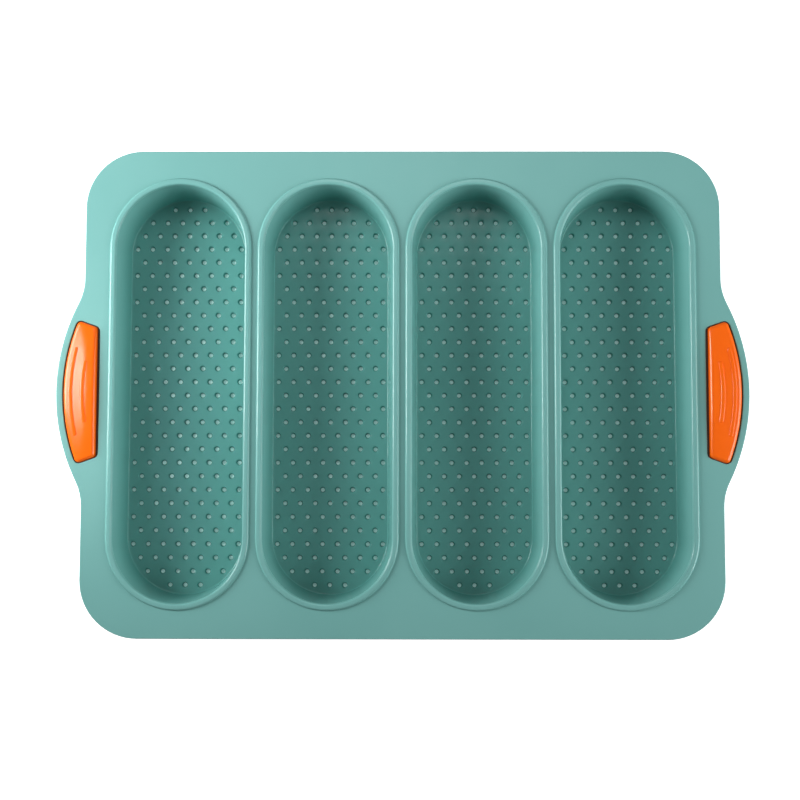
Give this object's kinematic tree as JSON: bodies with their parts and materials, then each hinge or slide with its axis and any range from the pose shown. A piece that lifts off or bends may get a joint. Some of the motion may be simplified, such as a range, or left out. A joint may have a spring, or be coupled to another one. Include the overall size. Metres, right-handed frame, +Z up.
{
  "type": "baguette tray",
  "caption": "Moulded silicone baguette tray with round-ended perforated troughs, a wire-stiffened rim, and a two-half grip in the ear at each short side.",
  "frame": {"origin": "middle of the tray, on the surface that the trough floors stand on", "axes": "+X along the long side, from ear to ear; +Y along the troughs; +Z up, out of the troughs' mouths"},
  "size_m": [0.36, 0.254, 0.0295],
  "materials": {
    "silicone_teal": "satin",
    "silicone_orange": "satin",
    "wire_steel": "drawn"
  },
  "bodies": {
    "root": {"tray_body": "silicone_teal", "frame_ring": "wire_steel", "grip_right_upper": "silicone_orange", "grip_right_lower": "silicone_orange", "grip_left_upper": "silicone_orange", "grip_left_lower": "silicone_orange"}
  },
  "joints": []
}
